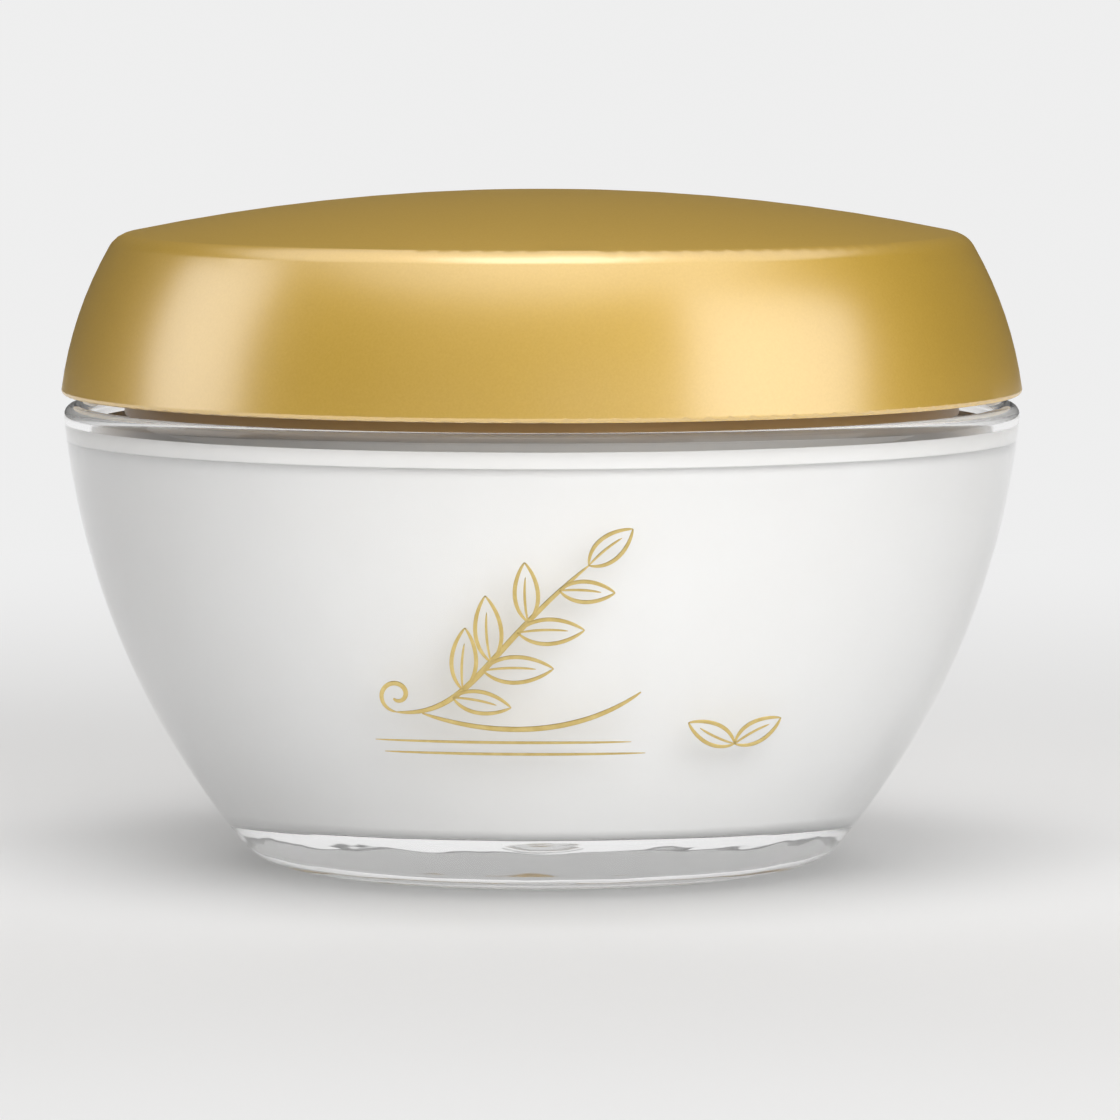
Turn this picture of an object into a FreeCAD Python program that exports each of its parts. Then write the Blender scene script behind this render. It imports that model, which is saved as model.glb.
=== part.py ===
import FreeCAD, Part
import math
import os

# Cosmetic cream jar: a clear double-wall bowl with a hanging cup, a plug disc and a two-part screw lid.
# Millimetres, +Z up. The origin is the centre of the ring that the jar stands on.

# ---- Driving dimensions -------------------------------------------------------------------------------

# Outer bowl
bowl_radius = 52.8          # outside of the rim
bowl_height = 50.5          # resting plane to the top of the rim
rim_draft = 4.6             # lean of the wall from upright at the rim, degrees
bowl_wall = 4.0
base_thickness = 7.0        # resting plane to the bowl's inner floor
foot_corner = 31.4          # radius at which the wall's curve would meet the resting plane
foot_round = 4.9
foot_bore = 26.2            # inner edge of the ring that the jar stands on
foot_recess = 0.8           # depth of the underside behind that ring
foot_crown = 0.6            # further rise of the underside at its centre
gate_radius = 3.2           # dimple that hides the moulding gate
gate_depth = 0.5
rim_wall = 3.0              # thickness of the rim above the ledge
ledge_drop = 3.7            # top of the rim down to the ledge that carries the cup
rim_round = 1.35            # on both edges of the rim
floor_round = 1.0

# Inner cup
neck_setback = 9.6          # outside of the rim in to the outside of the neck
neck_wall = 1.6
neck_height = 14.0          # above the flange
flange_thickness = 1.2
cup_wall = 1.2
cup_gap = 0.8               # air between the cup and the bowl
cup_floor = 1.4
cup_round = 5.0             # between the cup's floor and its wall
bore_draft = 0.4            # how much narrower the bore is at the start of the cup's curve
belly_round = 14.0          # blend from the bore into the curve
neck_chamfer = 0.4
root_chamfer = 0.7

# Seat of the cup in the bowl
locating_wall = 1.2         # ring under the flange that centres the cup
locating_depth = 3.4        # below the ledge
locating_clearance = 0.25
crush_count = 12            # small upright ribs on that ring, which grip the bowl's wall
crush_width = 1.0
crush_clearance = 0.03
fit_clearance = 0.15        # between pieces that are pressed or clicked together

# Plug disc
disc_flange = 0.8           # thickness of the rim that lies on the neck
disc_setback = 0.3          # its edge, in from the outside of the neck
plug_depth = 5.8
plug_wall = 1.1
plug_clearance = 0.25
plug_taper = 0.5
panel_thickness = 0.9
plug_chamfer = 1.2
fin_length = 30.0
fin_thickness = 1.6
fin_below_rim = 0.5         # top of the grip fin below the top of the disc
grip_roll = 1.25            # radius of the roll along the fin's edge

# Liner
liner_thickness = 1.4
liner_clearance = 0.3       # around its edge
face_clearance = 0.1        # between faces that only lie on each other

# Lid insert
thread_room = 1.5           # between the neck and the skirt, filled by the two threads
skirt_wall = 1.3
skirt_lift = 1.5            # lower edge of the skirt above the cup's flange
plate_thickness = 1.5
plate_chamfer = 1.3
closing_flange = 1.2        # thickness of the flange that closes the lid from below
liner_bead = 0.6            # bead that keeps the liner in
rib_count = 16
rib_thickness = 1.2
rib_start = 24.0            # radius of the ring on the plate from which the ribs run
rib_clearance = 0.25
ring_wall = 1.2

# Lid shell
lid_overhang = 0.2          # lid's lower edge beyond the rim
lid_wall = 2.0
lid_gap = 1.1               # open line between the rim and the lid
lid_draft = 7.0             # lean of the side from upright at the lower edge, degrees
shoulder_room = 0.9         # shoulder's corner outside the skirt
shoulder_rise = 3.1         # shoulder's corner above the insert's plate
dome_rise = 4.9             # apex above the shoulder's corner
shoulder_round = 3.0
inner_round = 1.2
lid_edge_round = 0.5
lid_snap_rise = 0.7         # lower edge of the lid up to the closing flange
lid_snap_bite = 0.5
key_count = 4
key_height = 1.5            # how far the keys stand in from the shell's wall
key_width = 1.4
key_length = 8.0

# ---- Sizes that follow --------------------------------------------------------------------------------

ledge_z = bowl_height - ledge_drop
flange_top = ledge_z + flange_thickness
neck_top = flange_top + neck_height
neck_radius = bowl_radius - neck_setback
mouth_radius = neck_radius - neck_wall
ledge_bore = bowl_radius - rim_wall

disc_top = neck_top + disc_flange
liner_bottom = disc_top + face_clearance
liner_top = liner_bottom + liner_thickness
plate_bottom = liner_top + face_clearance
plate_top = plate_bottom + plate_thickness

lid_radius = bowl_radius + lid_overhang
lid_bottom = bowl_height + lid_gap
skirt_bore = neck_radius + thread_room
skirt_radius = skirt_bore + skirt_wall
skirt_bottom = flange_top + skirt_lift
shoulder_radius = skirt_radius + shoulder_room
shoulder_z = plate_top + shoulder_rise
flange_bottom = lid_bottom + lid_snap_rise


# ---- Curves of the two walls --------------------------------------------------------------------------

def at(radius, z):
    return FreeCAD.Vector(radius, 0, z)


def arc_about(centre, size, angle_from, angle_to):
    """Arc in the XZ plane, its angles counted from +X towards +Z in radians."""
    angles = (angle_from, (angle_from + angle_to) / 2, angle_to)
    points = [at(centre[0] + size * math.cos(a), centre[1] + size * math.sin(a)) for a in angles]
    return Part.Arc(*points).toShape()


class WallCurve:
    """Arc of a turned wall that leaves `start` at `lean` degrees from upright and passes through `end`.

    Every method takes the depth below the outer surface at which its curve lies.
    """

    def __init__(self, start, lean, end):
        lean = math.radians(lean)
        inward = (-math.cos(lean), math.sin(lean))
        run = (start[0] - end[0], start[1] - end[1])
        across = run[0] * inward[0] + run[1] * inward[1]
        self.size = -(run[0] ** 2 + run[1] ** 2) / (2 * across)
        self.r = start[0] + inward[0] * self.size
        self.z = start[1] + inward[1] * self.size

    def radius(self, z, depth=0.0):
        return self.r + math.sqrt((self.size - depth) ** 2 - (z - self.z) ** 2)

    def height(self, radius, depth=0.0):
        """Height at which the curve reaches a radius, below its widest place."""
        return self.z - math.sqrt((self.size - depth) ** 2 - (radius - self.r) ** 2)

    def angle(self, point):
        return math.atan2(point[1] - self.z, point[0] - self.r)

    def arc(self, z_from, z_to, depth=0.0):
        ends = [self.angle((self.radius(z, depth), z)) for z in (z_from, z_to)]
        return arc_about((self.r, self.z), self.size - depth, *ends)

    def bottom_round(self, level, size, depth=0.0):
        """Arc that turns a flat face at `level` up into the curve, and the height at which it ends."""
        centre = (self.radius(level + size, depth + size), level + size)
        lean = self.angle(centre)
        return arc_about(centre, size, -math.pi / 2, lean), centre[1] + size * math.sin(lean)

    def top_round(self, level, size, depth=0.0):
        """Arc that turns the curve into a flat face at `level`, and the height at which it begins."""
        centre = (self.radius(level - size, depth + size), level - size)
        lean = self.angle(centre)
        return arc_about(centre, size, lean, math.pi / 2), centre[1] + size * math.sin(lean)

    def upright_round(self, radius, size, depth=0.0):
        """Arc that turns the curve into an upright wall, and the height at which it begins."""
        centre = (radius - size, self.height(radius - size, depth + size))
        lean = self.angle(centre)
        return arc_about(centre, size, lean, 0), centre[1] + size * math.sin(lean)


bowl_curve = WallCurve((bowl_radius, bowl_height), rim_draft, (foot_corner, 0.0))
lid_curve = WallCurve((lid_radius, lid_bottom), -lid_draft, (shoulder_radius, shoulder_z))

dome_size = (shoulder_radius ** 2 + dome_rise ** 2) / (2 * dome_rise)
dome_centre = shoulder_z + dome_rise - dome_size


def dome_z(radius, depth=0.0):
    """Height of the lid's dome, or of the surface that lies `depth` under it."""
    return dome_centre + math.sqrt((dome_size - depth) ** 2 - radius ** 2)


def shoulder(depth):
    """Corner at which the lid's side and dome would meet, `depth` inside the outer surface."""
    low, high = 0.0, shoulder_radius
    while high - low > 1e-7:
        middle = (low + high) / 2
        if lid_curve.radius(dome_z(middle, depth), depth) > middle:
            low = middle
        else:
            high = middle
    return middle, dome_z(middle, depth)


def lid_outline(z_from, depth, size):
    """Side, rounded shoulder and dome of the lid, `depth` inside its outer surface, up to the axis."""
    centre = shoulder(depth + size)
    side_angle = lid_curve.angle(centre)
    dome_angle = math.atan2(centre[1] - dome_centre, centre[0])
    return [
        lid_curve.arc(z_from, centre[1] + size * math.sin(side_angle), depth),
        arc_about(centre, size, side_angle, dome_angle),
        arc_about((0, dome_centre), dome_size - depth, dome_angle, math.pi / 2),
    ]


# ---- Shaping helpers ----------------------------------------------------------------------------------

def outline(*parts):
    """Closed outline in the XZ plane. Points stand for themselves, and lines join them to the next edge."""
    edges = []
    pen = first = None
    for part in parts:
        if isinstance(part, tuple):
            start = end = at(*part)
        else:
            start, end = part.firstVertex(True).Point, part.lastVertex(True).Point
            if pen and pen.distanceToPoint(end) < pen.distanceToPoint(start):
                start, end = end, start
        if pen and pen.distanceToPoint(start) > 1e-6:
            edges.append(Part.LineSegment(pen, start).toShape())
        if not isinstance(part, tuple):
            edges.append(part)
        first = first or start
        pen = end
    if pen.distanceToPoint(first) > 1e-6:
        edges.append(Part.LineSegment(pen, first).toShape())
    return Part.Wire(edges)


def turned(*parts):
    """Solid that an outline makes when it turns about the Z axis."""
    face = Part.Face(outline(*parts))
    return face.revolve(FreeCAD.Vector(0, 0, 0), FreeCAD.Vector(0, 0, 1), 360)


def block(r_from, r_to, width, z_from, z_to):
    """Bar that points outward along +X."""
    corner = FreeCAD.Vector(r_from, -width / 2, z_from)
    return Part.makeBox(r_to - r_from, width, z_to - z_from, corner)


def around(shape, count):
    """Copies of a shape, evenly spaced about the Z axis."""
    copies = []
    for i in range(count):
        copy = shape.copy()
        copy.rotate(FreeCAD.Vector(0, 0, 0), FreeCAD.Vector(0, 0, 1), i * 360 / count)
        copies.append(copy)
    return copies


# ---- Outer bowl ---------------------------------------------------------------------------------------

def outer_bowl():
    crown_z = foot_recess + foot_crown
    crown_size = (foot_bore ** 2 + foot_crown ** 2) / (2 * foot_crown)
    crown_angle = math.acos(foot_bore / crown_size)
    foot, foot_end = bowl_curve.bottom_round(0, foot_round)
    rim, rim_start = bowl_curve.top_round(bowl_height, rim_round)
    floor, floor_end = bowl_curve.bottom_round(base_thickness, floor_round, bowl_wall)
    body = turned(
        arc_about((0, crown_z - crown_size), crown_size, math.pi / 2, crown_angle),
        (foot_bore, 0),
        foot,
        bowl_curve.arc(foot_end, rim_start),
        rim,
        arc_about((ledge_bore + rim_round, bowl_height - rim_round), rim_round, math.pi / 2, math.pi),
        (ledge_bore, ledge_z),
        bowl_curve.arc(ledge_z, floor_end, bowl_wall),
        floor,
        (0, base_thickness),
    )
    ball = (gate_radius ** 2 + gate_depth ** 2) / (2 * gate_depth)
    dimple = Part.makeSphere(ball, at(0, crown_z + gate_depth - ball))
    return body.cut(dimple.common(Part.makeCylinder(gate_radius, crown_z + gate_depth)))


# ---- Inner cup ----------------------------------------------------------------------------------------

def inner_cup():
    outside = bowl_wall + cup_gap
    inside = outside + cup_wall
    bottom = base_thickness + cup_gap
    floor = bottom + cup_floor
    bore_low = mouth_radius - bore_draft
    flange_radius = ledge_bore - fit_clearance

    ring_z = ledge_z - locating_depth
    ring_top = bowl_curve.radius(ledge_z, bowl_wall + locating_clearance)
    ring_low = bowl_curve.radius(ring_z, bowl_wall + locating_clearance)

    outer_floor, outer_floor_end = bowl_curve.bottom_round(bottom, cup_round, outside)
    inner_floor, inner_floor_end = bowl_curve.bottom_round(floor, cup_round, inside)
    outer_belly, outer_belly_start = bowl_curve.upright_round(
        bore_low + cup_wall, belly_round + cup_wall, outside)
    inner_belly, inner_belly_start = bowl_curve.upright_round(bore_low, belly_round, inside)

    body = turned(
        (0, bottom),
        outer_floor,
        bowl_curve.arc(outer_floor_end, outer_belly_start, outside),
        outer_belly,
        (mouth_radius + cup_wall, ledge_z),
        (ring_top - locating_wall, ledge_z),
        (ring_low - locating_wall, ring_z),
        bowl_curve.arc(ring_z, ledge_z, bowl_wall + locating_clearance),
        (flange_radius, ledge_z),
        (flange_radius, flange_top),
        (neck_radius + root_chamfer, flange_top),
        (neck_radius, flange_top + root_chamfer),
        (neck_radius, neck_top - neck_chamfer),
        (neck_radius - neck_chamfer, neck_top),
        (mouth_radius + neck_chamfer, neck_top),
        (mouth_radius, neck_top - neck_chamfer),
        inner_belly,
        bowl_curve.arc(inner_belly_start, inner_floor_end, inside),
        inner_floor,
        (0, floor),
    )

    # The crush ribs stop at the flange above and start with a slope below.
    grip = turned(
        (ring_low - locating_wall / 2, ring_z),
        (ring_low, ring_z),
        bowl_curve.arc(ring_z + crush_width, ledge_z, bowl_wall + crush_clearance),
        (ring_top - locating_wall / 2, ledge_z),
    )
    rib = block(ring_low - locating_wall, bowl_radius, crush_width, ring_z, ledge_z).common(grip)
    return body.fuse(around(rib, crush_count)).removeSplitter()


# ---- Plug disc ----------------------------------------------------------------------------------------

def seal_disc():
    plug_top = mouth_radius - plug_clearance
    plug_low = plug_top - plug_taper
    panel_bottom = neck_top - plug_depth
    panel_top = panel_bottom + panel_thickness
    edge = neck_radius - disc_setback
    well_top = plug_top - plug_wall
    well_low = plug_low - plug_wall
    body = turned(
        (0, panel_bottom),
        (plug_low - plug_chamfer, panel_bottom),
        (plug_low, panel_bottom + plug_chamfer),
        (plug_top, neck_top),
        (edge, neck_top),
        (edge, disc_top - disc_flange / 3),
        (edge - disc_flange / 3, disc_top),
        (well_top + disc_flange / 2, disc_top),
        (well_top, disc_top - disc_flange / 2),
        (well_low, panel_top + plug_chamfer),
        (well_low - plug_chamfer, panel_top),
        (0, panel_top),
    )

    # Half-moon fin that stands in the well, with a roll along its edge to pull on.
    fin_height = disc_top - fin_below_rim - panel_top
    fin_curve = (fin_length ** 2 / 4 + fin_height ** 2) / (2 * fin_height)
    fin_centre = at(0, panel_top + fin_height - fin_curve)
    across = FreeCAD.Vector(0, 1, 0)
    fin = Part.makeCylinder(fin_curve - grip_roll, fin_thickness,
                            fin_centre - across * (fin_thickness / 2), across)
    roll = Part.makeTorus(fin_curve - grip_roll, grip_roll, fin_centre, across)
    above = Part.makeBox(fin_length, 4 * grip_roll, fin_height + panel_thickness / 2,
                         FreeCAD.Vector(-fin_length / 2, -2 * grip_roll, panel_top - panel_thickness / 2))
    return body.fuse(fin.fuse(roll).common(above)).removeSplitter()


# ---- Liner --------------------------------------------------------------------------------------------

def lid_liner():
    return Part.makeCylinder(skirt_bore - liner_clearance, liner_thickness, at(0, liner_bottom))


# ---- Lid insert ---------------------------------------------------------------------------------------

def lid_insert():
    flange_z = flange_bottom + closing_flange
    flange_radius = lid_curve.radius(flange_z, lid_wall) - fit_clearance
    bead_half = (plate_bottom - liner_bottom) / 2
    body = turned(
        (0, plate_bottom),
        (skirt_bore, plate_bottom),
        (skirt_bore, liner_bottom),
        (skirt_bore - liner_bead, liner_bottom - bead_half),
        (skirt_bore, liner_bottom - 2 * bead_half),
        (skirt_bore, skirt_bottom),
        (skirt_radius, skirt_bottom),
        (skirt_radius, flange_bottom),
        (flange_radius, flange_bottom),
        (flange_radius, flange_z),
        (skirt_radius, flange_z),
        (skirt_radius, plate_top - plate_chamfer),
        (skirt_radius - plate_chamfer, plate_top),
        (0, plate_top),
    )

    # The ribs and the ring that they start from fill the space up to the shell, less a clearance.
    room = lid_wall + rib_clearance
    lowest = flange_bottom + closing_flange / 2
    highest = shoulder_z + dome_rise
    within_plate = plate_top - plate_thickness / 2
    within_skirt = skirt_radius - skirt_wall / 2
    ring_middle = rib_start - ring_wall / 2
    space = turned((0, lowest), *lid_outline(lowest, room, inner_round))
    side = outline(
        (ring_middle, within_plate),
        (skirt_radius - plate_chamfer, within_plate),
        (within_skirt, plate_top - plate_chamfer),
        (within_skirt, lowest),
        (lid_radius, lowest),
        (lid_radius, highest),
        (ring_middle, highest),
    )
    rib = Part.Face(side).extrude(FreeCAD.Vector(0, rib_thickness, 0))
    rib.translate(FreeCAD.Vector(0, -rib_thickness / 2, 0))
    rib = rib.common(space)
    ring_z = dome_z(rib_start, room)
    ring = turned(
        (rib_start - ring_wall, within_plate),
        (rib_start, within_plate),
        (rib_start, ring_z),
        (rib_start - ring_wall, ring_z),
    )
    return body.fuse([ring] + around(rib, rib_count)).removeSplitter()


# ---- Lid shell ----------------------------------------------------------------------------------------

def lid_shell():
    bore = lid_curve.radius(flange_bottom, lid_wall)
    mouth = lid_curve.radius(lid_bottom, lid_wall)
    edge, edge_end = lid_curve.bottom_round(lid_bottom, lid_edge_round)
    body = turned(
        edge,
        *lid_outline(edge_end, 0, shoulder_round),
        *reversed(lid_outline(flange_bottom, lid_wall, inner_round)),
        (bore - lid_snap_bite, flange_bottom - fit_clearance),
        (mouth, lid_bottom),
    )

    # Pairs of keys in the wall straddle ribs of the insert, so that the shell turns it.
    key_bottom = flange_bottom + closing_flange + key_width
    key_top = key_bottom + key_length
    band = turned(
        lid_curve.arc(key_bottom, key_top, lid_wall / 2),
        lid_curve.arc(key_top, key_bottom, lid_wall + key_height),
    )
    beside = rib_thickness / 2 + rib_clearance + key_width / 2
    keys = []
    for side in (-beside, beside):
        key = block(skirt_radius, lid_radius, key_width, key_bottom, key_top)
        key.translate(FreeCAD.Vector(0, side, 0))
        keys += [copy.common(band) for copy in around(key, key_count)]
    return body.fuse(keys).removeSplitter()


# ---- Build --------------------------------------------------------------------------------------------

pieces = {
    "outer_bowl": outer_bowl,
    "inner_cup": inner_cup,
    "seal_disc": seal_disc,
    "lid_liner": lid_liner,
    "lid_insert": lid_insert,
    "lid_shell": lid_shell,
}

os.makedirs("parts", exist_ok=True)
for name, make in pieces.items():
    shape = make()
    shape.exportStep(f"parts/{name}.step")
    print(name, len(shape.Solids), "solid", shape.isValid(), round(shape.Volume / 1000, 2), "cm3")
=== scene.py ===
import math

import bpy
import numpy as np
from mathutils import Matrix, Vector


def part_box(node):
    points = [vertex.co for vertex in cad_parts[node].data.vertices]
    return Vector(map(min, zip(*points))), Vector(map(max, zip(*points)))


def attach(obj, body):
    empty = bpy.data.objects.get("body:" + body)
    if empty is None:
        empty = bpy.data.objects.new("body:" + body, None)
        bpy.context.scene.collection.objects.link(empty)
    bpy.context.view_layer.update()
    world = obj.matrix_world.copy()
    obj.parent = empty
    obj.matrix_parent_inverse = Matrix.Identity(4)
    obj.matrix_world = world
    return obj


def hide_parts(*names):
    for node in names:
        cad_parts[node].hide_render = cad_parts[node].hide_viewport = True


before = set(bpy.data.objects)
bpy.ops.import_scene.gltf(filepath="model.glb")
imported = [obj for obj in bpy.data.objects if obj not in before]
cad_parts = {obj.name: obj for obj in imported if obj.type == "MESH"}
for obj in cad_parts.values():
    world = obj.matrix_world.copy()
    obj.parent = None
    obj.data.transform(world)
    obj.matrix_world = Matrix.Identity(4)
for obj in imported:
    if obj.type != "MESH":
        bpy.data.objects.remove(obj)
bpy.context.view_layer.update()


# ---- Clear bowl ---------------------------------------------------------------------------------------
# The outer bowl is moulded in clear acrylic, thick in the base and polished all over. Its rim is rounded, a
# ledge inside the rim carries the cup, and the ring under the base keeps the gate dimple off the table.

mm = 0.001


def arc(centre, size, start, end, step=1.2 * mm):
    """Points on a circle about (r, z) from one angle to another, at most a step apart."""
    count = max(3, math.ceil(abs(end - start) * size / step) + 1)
    angles = np.linspace(start, end, count)
    return np.column_stack([centre[0] + size * np.cos(angles), centre[1] + size * np.sin(angles)])


def arc_between(centre, start, end):
    """Arc about a centre from one point to another that is as far from it."""
    angles = [math.atan2(z - centre[1], r - centre[0]) for r, z in (start, end)]
    return arc(centre, math.dist(centre, start), *angles)


def trimmed(points, cut_start, cut_end):
    """A polyline less a length at each end, measured along it."""
    along = np.concatenate([[0], np.cumsum(np.hypot(*np.diff(points, axis=0).T))])
    ends = (min(cut_start, 0.49 * along[-1]), along[-1] - min(cut_end, 0.49 * along[-1]))
    kept = points[(along > ends[0] + 1e-7) & (along < ends[1] - 1e-7)]
    first, last = [[np.interp(s, along, points[:, k]) for k in (0, 1)] for s in ends]
    return np.vstack([first, kept, last])


def bezier(a, b, c, d, count):
    """Points on the cubic (1-t)^3 a + 3t(1-t)^2 b + 3t^2(1-t) c + t^3 d."""
    t = np.linspace(0, 1, count)[:, None]
    a, b, c, d = [np.array(point, dtype=float) for point in (a, b, c, d)]
    return a * (1 - t) ** 3 + 3 * b * t * (1 - t) ** 2 + 3 * c * t ** 2 * (1 - t) + d * t ** 3


def outline(*stations):
    """Polyline through (r, z, round) corners. Each corner is cut back by its round and closed by a cubic.

    A pair (r, z) between two corners is the centre of the arc that joins them.
    """
    corners, runs = [], []
    centre = None
    for station in stations:
        if len(station) == 2:
            centre = station
            continue
        if corners:
            start, end = corners[-1][:2], station[:2]
            runs.append(np.array([start, end]) if centre is None else arc_between(centre, start, end))
        corners.append(station)
        centre = None
    runs = [trimmed(run, corners[i][2], corners[i + 1][2]) for i, run in enumerate(runs)]
    points = [runs[0]]
    handle = 0.5523  # makes the cubic across a square corner a quarter circle
    for corner, before, after in zip(corners[1:-1], runs, runs[1:]):
        if corner[2] > 0:
            start, end, tip = before[-1], after[0], np.array(corner[:2])
            leave, arrive = start + (tip - start) * handle, end + (tip - end) * handle
            points.append(bezier(start, leave, arrive, end, 8)[1:-1])
        points.append(after)
    points = np.vstack(points)
    apart = np.concatenate([[True], np.hypot(*np.diff(points, axis=0).T) > 1e-7])
    return points[apart]


def lathe(points, angles):
    """Closed surface that an outline from axis to axis, or a closed ring of points, makes about Z.

    The point at row i and angle a is (r_i cos a, r_i sin a, z_i). A row on the axis becomes one vertex.
    """
    ring = points[0, 0] > 1e-9
    body = points if ring else points[1:-1]
    grid = np.empty((len(body), len(angles), 3))
    grid[..., 0] = body[:, :1] * np.cos(angles)
    grid[..., 1] = body[:, :1] * np.sin(angles)
    grid[..., 2] = body[:, 1:]
    index = np.arange(len(body) * len(angles)).reshape(len(body), -1)
    lower, upper = (index, np.roll(index, -1, axis=0)) if ring else (index[:-1], index[1:])
    quads = np.stack([lower, np.roll(lower, -1, axis=1), np.roll(upper, -1, axis=1), upper], axis=-1)
    vertices, faces = grid.reshape(-1, 3), quads.reshape(-1, 4).tolist()
    if not ring:
        bottom, top = len(vertices), len(vertices) + 1
        vertices = np.vstack([vertices, [[0, 0, points[0, 1]], [0, 0, points[-1, 1]]]])
        for pole, row, other in ((bottom, np.roll(index[0], -1), index[0]),
                                 (top, index[-1], np.roll(index[-1], -1))):
            faces += np.column_stack([np.full(len(angles), pole), row, other]).tolist()
    return vertices, faces


def new_mesh(name, vertices, faces, material, body):
    """Object at the origin from vertices and faces, shaded smooth, that rides on a body."""
    data = bpy.data.meshes.new(name)
    data.from_pydata(vertices, [], faces)
    data.polygons.foreach_set("use_smooth", [True] * len(data.polygons))
    data.materials.append(material)
    piece = bpy.data.objects.new(name, data)
    bpy.context.scene.collection.objects.link(piece)
    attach(piece, body)
    return piece


def new_material(name, colour, roughness, **sockets):
    """Principled material. An underscore in a socket's name stands for a space."""
    material = bpy.data.materials.new(name)
    material.use_nodes = True
    principled = material.node_tree.nodes["Principled BSDF"]
    principled.inputs["Base Color"].default_value = (*colour, 1)
    principled.inputs["Roughness"].default_value = roughness
    for socket, value in sockets.items():
        principled.inputs[socket.replace("_", " ")].default_value = value
    return material


def cloud(material, size, detail=2.0):
    """Noise over the piece, with features about as large as a size in metres. Returns its output."""
    tree = material.node_tree
    place = tree.nodes.new("ShaderNodeTexCoord")
    noise = tree.nodes.new("ShaderNodeTexNoise")
    noise.inputs["Scale"].default_value = 1 / size
    noise.inputs["Detail"].default_value = detail
    tree.links.new(place.outputs["Object"], noise.inputs["Vector"])
    return noise.outputs["Fac"]


def spread(material, source, socket, low, high):
    """Sends a noise to a socket of the shader, stretched to a range."""
    tree = material.node_tree
    scale = tree.nodes.new("ShaderNodeMapRange")
    scale.inputs["From Min"].default_value = 0.3
    scale.inputs["From Max"].default_value = 0.7
    scale.inputs["To Min"].default_value = low
    scale.inputs["To Max"].default_value = high
    tree.links.new(source, scale.inputs["Value"])
    tree.links.new(scale.outputs["Result"], tree.nodes["Principled BSDF"].inputs[socket])


def tint(material, source, first, second):
    """Colours the shader between two colours by a noise."""
    tree = material.node_tree
    ramp = tree.nodes.new("ShaderNodeValToRGB")
    ramp.color_ramp.elements[0].position = 0.3
    ramp.color_ramp.elements[1].position = 0.7
    ramp.color_ramp.elements[0].color = (*first, 1)
    ramp.color_ramp.elements[1].color = (*second, 1)
    tree.links.new(source, ramp.inputs["Fac"])
    tree.links.new(ramp.outputs["Color"], tree.nodes["Principled BSDF"].inputs["Base Color"])


def relief(material, source, depth):
    """Bumps the surface by a noise, to a depth in metres."""
    tree = material.node_tree
    bump = tree.nodes.new("ShaderNodeBump")
    bump.inputs["Distance"].default_value = depth
    tree.links.new(source, bump.inputs["Height"])
    tree.links.new(bump.outputs["Normal"], tree.nodes["Principled BSDF"].inputs["Normal"])


bowl_r, bowl_z = 52.8 * mm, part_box("outer_bowl")[1].z
foot_corner = 31.4 * mm
rim_lean = math.radians(4.6)
wall, base = 4.0 * mm, 7.0 * mm
rim_width, rim_height = 3.0 * mm, 3.7 * mm
ledge_z = bowl_z - rim_height
ledge_bore = bowl_r - rim_width

# The wall's arc leaves the rim at its lean from upright and passes through the foot's corner.
inward = np.array([-math.cos(rim_lean), math.sin(rim_lean)])
run = np.array([bowl_r - foot_corner, bowl_z])
wall_size = -(run @ run) / (2 * run @ inward)
wall_centre = (bowl_r + inward[0] * wall_size, bowl_z + inward[1] * wall_size)


def wall_r(z, depth=0.0):
    """Radius at a height of the curve that lies a depth inside the bowl's outer surface."""
    return wall_centre[0] + np.sqrt((wall_size - depth) ** 2 - (z - wall_centre[1]) ** 2)


def cap_centre(rim_r, rim_z, top_z):
    """Centre on the axis of the arc that passes through a rim and a top on the axis."""
    size = (rim_r ** 2 + (top_z - rim_z) ** 2) / (2 * (top_z - rim_z))
    return 0.0, top_z - size


foot_bore, recess_z, crown_z = 26.2 * mm, 0.8 * mm, 1.4 * mm
crown_centre = cap_centre(foot_bore, recess_z, crown_z)
dimple_r, dimple_z = 3.2 * mm, 1.9 * mm
dimple_edge = crown_centre[1] + math.sqrt((crown_z - crown_centre[1]) ** 2 - dimple_r ** 2)

inner_wall = [
    (ledge_bore, ledge_z, 0.1 * mm),
    (wall_r(ledge_z, wall), ledge_z, 0.1 * mm),
    wall_centre,
    (wall_r(base, wall), base, 1.0 * mm),
]
bowl_outline = outline(
    (0, dimple_z, 0),
    cap_centre(dimple_r, dimple_edge, dimple_z),
    (dimple_r, dimple_edge, 0.1 * mm),
    crown_centre,
    (foot_bore, recess_z, 0.15 * mm),
    (foot_bore, 0, 0.25 * mm),
    (foot_corner, 0, 2.3 * mm),
    wall_centre,
    (bowl_r, bowl_z, 1.35 * mm),
    (ledge_bore, bowl_z, 1.35 * mm),
    *inner_wall,
    (0, base, 0),
)

bowl_sides = 288
bowl_angles = np.linspace(0, 2 * math.pi, bowl_sides, endpoint=False)

acrylic = new_material("clear_acrylic", (1.0, 1.0, 1.0), 0.02, Transmission_Weight=1.0, IOR=1.49)
spread(acrylic, cloud(acrylic, 9 * mm, 4.0), "Roughness", 0.008, 0.03)

# The thick base keeps faint flow waves from the mould, which die out above its floor.
tree = acrylic.node_tree
place = tree.nodes.new("ShaderNodeTexCoord")
split = tree.nodes.new("ShaderNodeSeparateXYZ")
low = tree.nodes.new("ShaderNodeMapRange")
low.inputs["From Min"].default_value = base + 0.5 * mm
low.inputs["From Max"].default_value = base - 1.5 * mm
waves = tree.nodes.new("ShaderNodeMath")
waves.operation = "MULTIPLY"
tree.links.new(place.outputs["Object"], split.inputs[0])
tree.links.new(split.outputs["Z"], low.inputs["Value"])
tree.links.new(low.outputs["Result"], waves.inputs[0])
tree.links.new(cloud(acrylic, 6 * mm, 0.5), waves.inputs[1])
relief(acrylic, waves.outputs[0], 0.1 * mm)

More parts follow.
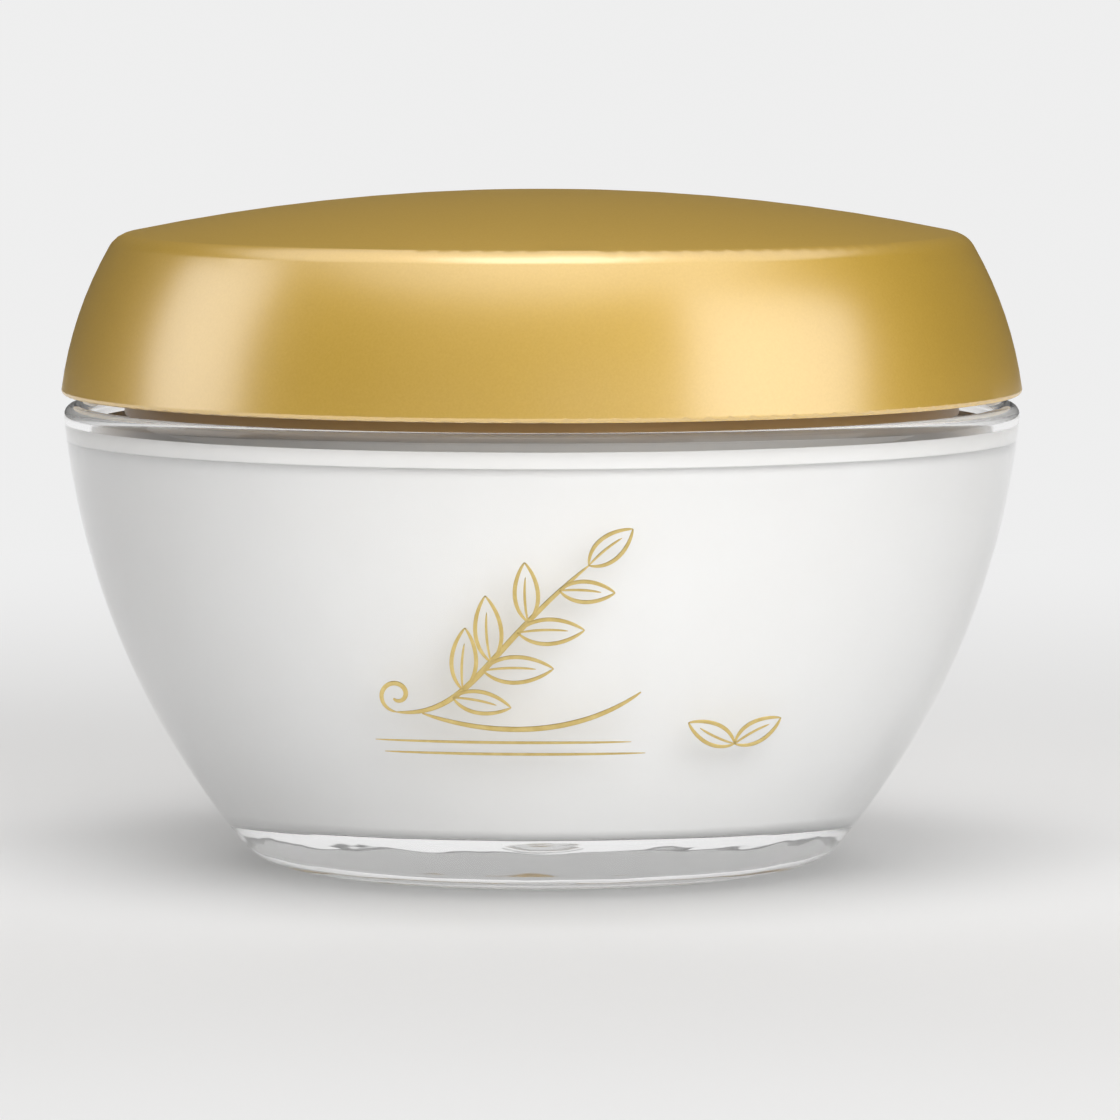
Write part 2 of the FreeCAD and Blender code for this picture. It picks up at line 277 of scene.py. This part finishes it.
# Shadow rays pass straight through, as lamps do through a clear wall.
rays = tree.nodes.new("ShaderNodeLightPath")
through = tree.nodes.new("ShaderNodeBsdfTransparent")
through.inputs["Color"].default_value = (0.96, 0.96, 0.95, 1)
mix = tree.nodes.new("ShaderNodeMixShader")
tree.links.new(rays.outputs["Is Shadow Ray"], mix.inputs[0])
tree.links.new(tree.nodes["Principled BSDF"].outputs[0], mix.inputs[1])
tree.links.new(through.outputs[0], mix.inputs[2])
tree.links.new(mix.outputs[0], tree.nodes["Material Output"].inputs["Surface"])

vertices, faces = lathe(bowl_outline, bowl_angles)
bowl = new_mesh("clear_bowl", vertices, faces, acrylic, "jar")
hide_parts("outer_bowl")


# ---- White coat inside the bowl -----------------------------------------------------------------------
# The bowl's wall is sprayed white inside, from the edge of the floor over the ledge up to a masked line just
# under the rim. The floor is left clear. Through the thick wall the white fills the bowl to its very edge.

def offset(points, depth):
    """A polyline moved to the left of its run by a depth."""
    along = np.gradient(points, axis=0)
    along /= np.hypot(*along.T)[:, None]
    return points + depth * np.column_stack([-along[:, 1], along[:, 0]])


mask_z = ledge_z + 1.7 * mm
floor_lap = 2 * mm
coat_line = outline((ledge_bore, mask_z, 0), *inner_wall, (wall_r(base, wall) - floor_lap, base, 0))

# The coat reaches a hair into the wall, so that no slit shows behind the clear plastic.
coat_outside, coat_inside = offset(coat_line, 0.04 * mm), offset(coat_line, -0.02 * mm)

paint = new_material("white_coat", (0.87, 0.87, 0.87), 0.5)
tint(paint, cloud(paint, 22 * mm, 3.0), (0.865, 0.862, 0.855), (0.885, 0.885, 0.882))
relief(paint, cloud(paint, 0.8 * mm), 0.004 * mm)
vertices, faces = lathe(np.vstack([coat_outside[::-1], coat_inside]), bowl_angles)
new_mesh("bowl_coat", vertices, faces, paint, "jar")


# ---- Foil ornament ------------------------------------------------------------------------------------
# A leaf sprig, two rules and a pair of small leaves, hot-stamped on the front of the bowl in gold foil. The
# foil is a few hundredths of a millimetre thick and follows the wall.

# Depths of the foil's two faces under the wall's surface.
foil_outside, foil_inside = -0.03 * mm, 0.01 * mm


def stroke(path, half_width):
    """Foil along a path of (x, z) points in millimetres, as seen from the front.

    The path is widened to both sides by its half width times (4 s (1 - s)) ^ 0.35, where s runs from 0 to 1
    along it, and each point goes on the wall at y = -sqrt(R(z)^2 - x^2), a hair outside it and a hair inside.
    """
    along = np.gradient(path, axis=0)
    along /= np.hypot(*along.T)[:, None]
    s = np.linspace(0.004, 0.996, len(path))
    width = half_width * (4 * s * (1 - s)) ** 0.35
    across = np.linspace(-1, 1, 5)
    sideways = np.column_stack([-along[:, 1], along[:, 0]]) * width[:, None]
    flat = (path[:, None] + sideways[:, None] * across[:, None]) * mm
    skins = []
    for depth in (foil_outside, foil_inside):
        radius = wall_r(flat[..., 1], depth)
        y = -np.sqrt(radius ** 2 - flat[..., 0] ** 2)
        skins.append(np.stack([flat[..., 0], y, flat[..., 1]], axis=-1))
    ring = np.concatenate([skins[0], skins[1][:, ::-1]], axis=1)
    index = np.arange(ring.size // 3).reshape(ring.shape[:2])
    near, far = index[:-1], index[1:]
    quads = np.stack([near, far, np.roll(far, -1, axis=1), np.roll(near, -1, axis=1)], axis=-1)
    return ring.reshape(-1, 3), quads.reshape(-1, 4).tolist() + [index[0].tolist(), index[-1, ::-1].tolist()]


def leaf(root, angle, length, width):
    """Outline and midrib of a leaf: two bowed sides from root to tip, and a rib for three quarters of it."""
    turn = np.array([[math.cos(angle), -math.sin(angle)], [math.sin(angle), math.cos(angle)]])
    tip, bow = (length, 0), 0.04 * length
    sides = [bezier((0, 0), (length * 0.25, side * width), (length * 0.7, side * width * 0.8), tip, 25)
             for side in (-1, 1)]
    rib = bezier((0, 0), (length * 0.25, bow), (length * 0.5, bow), (length * 0.75, 0), 15)
    return [(points @ turn.T + root, side_line) for points in sides] + [(rib @ turn.T + root, rib_line)]


# Half widths of the lines, in millimetres.
stem_line, sweep_line, curl_line, side_line, rule_line, rib_line = 0.32, 0.30, 0.26, 0.22, 0.16, 0.14

# The sprig: a stem, leaves to both sides of it, and one at its tip.
stem = bezier((-15.2, 20.45), (-7.5, 20.0), (-6.0, 27.5), (5.0, 36.6), 61)
heading = np.gradient(stem, axis=0)
directions = np.arctan2(heading[:, 1], heading[:, 0])
strokes = [(stem, stem_line)]
leaf_lean, leaf_share = math.radians(46), 0.28
for knot, side, length in ((19, -1, 6.2), (23, 1, 6.8), (31, -1, 7.4), (34, 1, 7.2),
                           (43, -1, 7.0), (46, 1, 6.4), (54, -1, 5.8)):
    strokes += leaf(stem[knot], directions[knot] + side * leaf_lean, length, length * leaf_share)
strokes += leaf(stem[-1], directions[-1], 6.0, 1.9)

# A curl that winds in from the stem's foot, and a sweep under the sprig.
turn = np.linspace(0, 7.0, 41)
reach = 1.9 - 0.2 * turn
curl = np.column_stack([-15.2 - reach * np.sin(turn), 22.35 - reach * np.cos(turn)])
strokes.append((curl, curl_line))
strokes.append((bezier((-12.5, 20.4), (-5.0, 17.9), (4.0, 18.0), (10.5, 22.8), 41), sweep_line))

# Two rules below it, and the pair of small leaves beside them.
for left, right, height in ((-17.5, 9.5, 17.3), (-16.5, 11.0, 16.0)):
    strokes.append((np.column_stack([np.linspace(left, right, 31), np.full(31, height)]), rule_line))
for angle in (28, 152):
    strokes += leaf(np.array([20.5, 16.6]), math.radians(angle), 5.6, 1.7)

vertices, faces, count = [], [], 0
for path, half_width in strokes:
    points, polygons = stroke(path, half_width)
    vertices.append(points)
    faces += [[corner + count for corner in polygon] for polygon in polygons]
    count += len(points)

foil = new_material("gold_foil", (0.86, 0.66, 0.26), 0.3, Metallic=1.0)
tint(foil, cloud(foil, 1.2 * mm, 3.0), (0.80, 0.60, 0.22), (0.90, 0.71, 0.30))
relief(foil, cloud(foil, 0.3 * mm), 0.003 * mm)
new_mesh("foil_ornament", np.vstack(vertices), faces, foil, "jar")


# ---- Inner cup ----------------------------------------------------------------------------------------
# The cup that holds the cream is moulded in white polypropylene. It hangs by its flange on the bowl's ledge,
# held by the crush ribs of a ring pressed into the bore, and ends in the neck that the lid screws on.

def dress(node, material):
    """Gives a CAD node a material in every slot."""
    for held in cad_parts[node].material_slots:
        held.material = material


cup_plastic = new_material("cup_polypropylene", (0.82, 0.82, 0.81), 0.32)
tint(cup_plastic, cloud(cup_plastic, 14 * mm, 3.0), (0.80, 0.80, 0.79), (0.83, 0.83, 0.82))
relief(cup_plastic, cloud(cup_plastic, 0.5 * mm), 0.006 * mm)
dress("inner_cup", cup_plastic)


# ---- Neck thread --------------------------------------------------------------------------------------
# Three rounded ridges moulded on the neck, right-handed, each a start of a thread with a 12 mm lead. They run
# out into the neck at both ends.

starts, lead = 3, 11.995 * mm
thread_turn = math.radians(190)
ridge_height, ridge_sink = 1.2 * mm, 0.3 * mm


def ridges(root, tip, z_start):
    """Thread ridges: a rounded profile carried along a helix of height z_start + lead * angle / 2 pi.

    A ridge stands from the root's radius to the tip's, fades in and out over about an eighth of its length at
    each end, and its foot is sunk a little into the wall that carries it.
    """
    s = np.linspace(0, 1, 121)
    fade = np.clip(np.minimum(s, 1 - s) / 0.12, 0, 1)
    fade = fade * fade * (3 - 2 * fade)
    rise = np.array([0, 0, 0.55, 0.93, 1, 0.93, 0.55, 0, 0])
    radius = root + (tip - root) * fade[:, None] * rise
    radius[:, [0, -1]] = root - math.copysign(ridge_sink, tip - root)
    across = np.array([-0.85, -0.85, -0.62, -0.42, 0, 0.42, 0.62, 0.85, 0.85]) * mm
    angle = np.arange(starts)[:, None, None] * 2 * math.pi / starts + (s * thread_turn)[:, None]
    height = z_start + lead * (s * thread_turn)[:, None] / (2 * math.pi) + across
    grid = np.empty((starts, len(s), len(rise), 3))
    grid[..., 0] = radius * np.cos(angle)
    grid[..., 1] = radius * np.sin(angle)
    grid[..., 2] = height
    index = np.arange(grid.size // 3).reshape(grid.shape[:3])
    near, far = index[:, :-1], index[:, 1:]
    quads = np.stack([near, far, np.roll(far, -1, axis=2), np.roll(near, -1, axis=2)], axis=-1)
    faces = quads.reshape(-1, 4).tolist() + index[:, 0].tolist() + index[:, -1, ::-1].tolist()
    if tip < root:
        faces = [face[::-1] for face in faces]
    return grid.reshape(-1, 3), faces


flange_thickness, thread_above_flange = 1.2 * mm, 4.2 * mm
neck_r = 43.2 * mm
neck_thread_z = ledge_z + flange_thickness + thread_above_flange
vertices, faces = ridges(neck_r, neck_r + ridge_height, neck_thread_z)
new_mesh("neck_thread", vertices, faces, cup_plastic, "jar")


# ---- Plug disc ----------------------------------------------------------------------------------------
# A thin disc of natural polyethylene that plugs the cup's mouth under the lid, with a fin to lift it by. It
# is softer and a little more translucent than the cup.

disc_plastic = new_material(
    "disc_polyethylene", (0.83, 0.84, 0.83), 0.42, Subsurface_Weight=0.25, Subsurface_Scale=1.5 * mm)
tint(disc_plastic, cloud(disc_plastic, 9 * mm, 3.0), (0.81, 0.82, 0.81), (0.85, 0.855, 0.85))
relief(disc_plastic, cloud(disc_plastic, 0.35 * mm), 0.008 * mm)
dress("seal_disc", disc_plastic)


# ---- Liner --------------------------------------------------------------------------------------------
# A disc cut from foamed polyethylene sheet, pressed into the lid over a bead. The cut cells give it a fine
# pitted face.

foam = new_material("liner_foam", (0.80, 0.80, 0.78), 0.75)
tint(foam, cloud(foam, 0.6 * mm, 3.0), (0.76, 0.76, 0.74), (0.83, 0.83, 0.81))
tree = foam.node_tree
cell_size = 0.45 * mm
cells = tree.nodes.new("ShaderNodeTexVoronoi")
cells.inputs["Scale"].default_value = 1 / cell_size
place = tree.nodes.new("ShaderNodeTexCoord")
tree.links.new(place.outputs["Object"], cells.inputs["Vector"])
relief(foam, cells.outputs["Distance"], 0.05 * mm)
dress("lid_liner", foam)


# ---- Lid insert ---------------------------------------------------------------------------------------
# The inner cap, moulded in polypropylene, with the lid's thread in its skirt, ribs up to the shell and
# a flange that closes the lid from below. Its dark ochre-brown colour is painted shade and painted warm gold
# reflection for the thin gap under the lid.

gap_shade_brown_plastic = new_material("insert_painted_gap_shade", (0.42, 0.25, 0.08), 0.38)
tint(gap_shade_brown_plastic, cloud(gap_shade_brown_plastic, 11 * mm, 3.0), (0.40, 0.235, 0.075), (0.44, 0.265, 0.09))
relief(gap_shade_brown_plastic, cloud(gap_shade_brown_plastic, 0.4 * mm), 0.008 * mm)
dress("lid_insert", gap_shade_brown_plastic)


# ---- Lid thread ---------------------------------------------------------------------------------------
# Three ridges inside the skirt that run in the gaps between those of the neck, each just under one of them.

thread_room, thread_drop = 1.5 * mm, 1.85 * mm
skirt_bore = neck_r + thread_room
vertices, faces = ridges(skirt_bore, skirt_bore - ridge_height, neck_thread_z - thread_drop)
# The ridges take the insert's dark brown too, painted shade for the gap under the lid.
new_mesh("lid_thread", vertices, faces, gap_shade_brown_plastic, "lid")


# ---- Lid shell ----------------------------------------------------------------------------------------
# The outer shell of the lid is moulded, vacuum metallised and then lacquered a warm gold. The lacquer gives
# it a soft satin gloss over the metal.

gold = new_material(
    "gold_metallised", (0.83, 0.51, 0.045), 0.48,
    Metallic=0.45, Coat_Weight=1.0, Coat_Roughness=0.27, Coat_IOR=3.2)
tint(gold, cloud(gold, 0.25 * mm), (0.81, 0.495, 0.04), (0.85, 0.525, 0.05))
relief(gold, cloud(gold, 0.3 * mm), 0.004 * mm)


def welded(node):
    """Vertices and faces of a CAD node's mesh, with the vertices that lie on one place made one.

    Places are compared to a tenth of a micrometre. A triangle that comes to have a corner twice is left out.
    """
    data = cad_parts[node].data
    points = np.empty(len(data.vertices) * 3)
    data.vertices.foreach_get("co", points)
    points = points.reshape(-1, 3)
    corners = np.empty(len(data.loops), dtype=int)
    data.loops.foreach_get("vertex_index", corners)
    places = np.round(points * 1e7)
    _, first, same = np.unique(places, axis=0, return_index=True, return_inverse=True)
    faces = same.reshape(-1)[corners].reshape(-1, 3)
    a, b, c = faces.T
    return points[first], faces[(a != b) & (b != c) & (c != a)].tolist()


# One skin all round lets the satin gloss run on over the shell's seam. Its edges stay crisp.
vertices, faces = welded("lid_shell")
shell = new_mesh("lid_cover", vertices, faces, gold, "lid")
crisp_edge = math.radians(30)
shell.data.set_sharp_from_angle(angle=crisp_edge)
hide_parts("lid_shell")

# Normals weighted by area and angle keep the gloss level where the dome's long triangles meet the shoulder's
# short ones.
even = shell.modifiers.new("even_shading", "WEIGHTED_NORMAL")
even.keep_sharp = True
even.mode = "FACE_AREA_WITH_ANGLE"
even.weight = 50


# ---- Staging ------------------------------------------------------------------------------------------
# A pale floor that fades into a pale surround, a softbox on each side for the lid's upright highlights, one
# overhead, four fills, and a ring of dark card around the table that draws the edges of the lid.

scene = bpy.context.scene
scene.cycles.max_bounces = 24
scene.cycles.glossy_bounces = 12
scene.cycles.transmission_bounces = 20
pale = (0.86, 0.86, 0.86, 1)


def seen_rays(tree):
    """Value that is 1 for what the camera sees, also in gloss and through clear walls."""
    rays = tree.nodes.new("ShaderNodeLightPath")
    total = rays.outputs["Is Camera Ray"]
    for name in ("Is Glossy Ray", "Is Transmission Ray"):
        larger = tree.nodes.new("ShaderNodeMath")
        larger.operation = "MAXIMUM"
        tree.links.new(total, larger.inputs[0])
        tree.links.new(rays.outputs[name], larger.inputs[1])
        total = larger.outputs[0]
    return total


world = bpy.data.worlds.new("studio")
scene.world = world
world.use_nodes = True
tree = world.node_tree
dim = tree.nodes["Background"]
dim.inputs["Color"].default_value = (0.12, 0.114, 0.107, 1)
bright = tree.nodes.new("ShaderNodeBackground")
bright.inputs["Color"].default_value = pale
mix = tree.nodes.new("ShaderNodeMixShader")
tree.links.new(seen_rays(tree), mix.inputs[0])
tree.links.new(dim.outputs[0], mix.inputs[1])
tree.links.new(bright.outputs[0], mix.inputs[2])
tree.links.new(mix.outputs[0], tree.nodes["World Output"].inputs["Surface"])

floor_material = new_material("pale_floor", (0.80, 0.80, 0.80), 0.9)
tree = floor_material.node_tree
tree.nodes["Principled BSDF"].inputs["Specular IOR Level"].default_value = 0.0
glow = tree.nodes.new("ShaderNodeEmission")
glow.inputs["Color"].default_value = pale
place = tree.nodes.new("ShaderNodeTexCoord")
length = tree.nodes.new("ShaderNodeVectorMath")
length.operation = "LENGTH"
fade = tree.nodes.new("ShaderNodeMapRange")
fade.interpolation_type = "SMOOTHSTEP"
fade.inputs["From Min"].default_value = 0.08
fade.inputs["From Max"].default_value = 0.42
both = tree.nodes.new("ShaderNodeMath")
both.operation = "MULTIPLY"
mix = tree.nodes.new("ShaderNodeMixShader")
tree.links.new(place.outputs["Object"], length.inputs[0])
tree.links.new(length.outputs["Value"], fade.inputs["Value"])
tree.links.new(fade.outputs["Result"], both.inputs[0])
tree.links.new(seen_rays(tree), both.inputs[1])
tree.links.new(tree.nodes["Principled BSDF"].outputs[0], mix.inputs[1])
tree.links.new(glow.outputs[0], mix.inputs[2])

# Through the clear base the floor looks half as pale as the surround, right up to the jar.
rays = tree.nodes.new("ShaderNodeLightPath")
below = tree.nodes.new("ShaderNodeMath")
below.operation = "MULTIPLY"
below.inputs[1].default_value = 0.55
larger = tree.nodes.new("ShaderNodeMath")
larger.operation = "MAXIMUM"
tree.links.new(rays.outputs["Is Transmission Ray"], below.inputs[0])
tree.links.new(both.outputs[0], larger.inputs[0])
tree.links.new(below.outputs[0], larger.inputs[1])
tree.links.new(larger.outputs[0], mix.inputs[0])
tree.links.new(mix.outputs[0], tree.nodes["Material Output"].inputs["Surface"])


def board(name, corners, material, faces=((0, 1, 2, 3),)):
    """Stage object of flat four-cornered faces."""
    data = bpy.data.meshes.new(name)
    data.from_pydata(corners, [], faces)
    data.materials.append(material)
    panel = bpy.data.objects.new(name, data)
    scene.collection.objects.link(panel)
    return panel


# The floor lies a hair below the foot, so that the two never share a plane.
floor_half, floor_z = 6, -0.0003
floor_corners = [(x * floor_half, y * floor_half, floor_z) for x, y in ((-1, -1), (1, -1), (1, 1), (-1, 1))]
board("floor", floor_corners, floor_material)

card_material = bpy.data.materials.new("surround_card")
card_material.use_nodes = True
tree = card_material.node_tree
shine = tree.nodes.new("ShaderNodeEmission")
place = tree.nodes.new("ShaderNodeTexCoord")
split = tree.nodes.new("ShaderNodeSeparateXYZ")
level = tree.nodes.new("ShaderNodeMapRange")
level.inputs["From Min"].default_value = -1.3
level.inputs["From Max"].default_value = -0.7
level.inputs["To Min"].default_value = 0.14
level.inputs["To Max"].default_value = 0.05
tree.links.new(place.outputs["Object"], split.inputs[0])
tree.links.new(split.outputs["Y"], level.inputs["Value"])
tree.links.new(level.outputs["Result"], shine.inputs["Strength"])
tree.links.new(shine.outputs[0], tree.nodes["Material Output"].inputs["Surface"])
card_sides, card_radius, card_height = 48, 1.35, 1.4
card_angles = np.linspace(0, 2 * math.pi, card_sides + 1)
card_ring = card_radius * np.column_stack([np.sin(card_angles), np.cos(card_angles)])
low_edge, high_edge = [np.column_stack([card_ring, np.full(card_sides + 1, z)]) for z in (0.0, card_height)]
k = np.arange(card_sides)
above = k + card_sides + 1
card_faces = np.column_stack([k, k + 1, above + 1, above]).tolist()
card = board("surround", np.vstack([low_edge, high_edge]), card_material, card_faces)
card.visible_camera = False
card.visible_diffuse = False
card.visible_transmission = False
card.visible_shadow = False


lamp_aim = (0, 0, 0.045)


def softbox(name, azimuth, elevation, roll, width, height, radiance, gloss=True, wash=True):
    """Rectangular lamp a metre from the jar and aimed at it.

    Azimuth is from the front, positive to the right, and roll turns the lamp on its own axis. A lamp without
    gloss gives no highlights, and one without wash lights glossy surfaces only.
    """
    lamp = bpy.data.lights.new(name, "AREA")
    lamp.shape = "RECTANGLE"
    lamp.size, lamp.size_y = width, height
    lamp.energy = radiance * math.pi * width * height
    box = bpy.data.objects.new(name, lamp)
    a, e = math.radians(azimuth), math.radians(elevation)
    away = np.array([math.sin(a) * math.cos(e), -math.cos(a) * math.cos(e), math.sin(e)])
    box.location = away + lamp_aim
    aim = Matrix.Rotation(a, 3, "Z") @ Matrix.Rotation(math.pi / 2 - e, 3, "X")
    box.rotation_euler = (aim @ Matrix.Rotation(math.radians(roll), 3, "Z")).to_euler()
    scene.collection.objects.link(box)
    box.visible_camera = False
    box.visible_transmission = False
    box.visible_glossy = gloss
    box.visible_diffuse = wash


softbox("right_softbox", 60, 20, -18, 0.8, 0.75, 1.25, wash=False)
softbox("left_softbox", -94, 20, 18, 0.55, 0.7, 1.3, wash=False)
softbox("top_softbox", 0, 80, 0, 0.5, 0.6, 1.3)
softbox("front_fill", 23, 14, 0, 0.8, 0.5, 5.1, gloss=False)
softbox("left_fill", -20, 14, 0, 0.4, 0.5, 1.3, gloss=False)
softbox("top_fill", 0, 75, 0, 0.9, 0.9, 2.2, gloss=False)
softbox("back_fill", 180, 20, 0, 1.6, 0.6, 2.1, gloss=False)

camera_data = bpy.data.cameras.new("camera")
camera_data.lens = 252
camera_data.sensor_width = 36
camera = bpy.data.objects.new("camera", camera_data)
aside, distance, high, aim_high = 0.002, 0.864, 0.105, 0.033
camera.location = (aside, -distance, high)
camera.rotation_euler = (math.pi / 2 - math.atan2(high - aim_high, distance), 0, 0)
scene.collection.objects.link(camera)
scene.camera = camera
scene.view_settings.view_transform = "Standard"
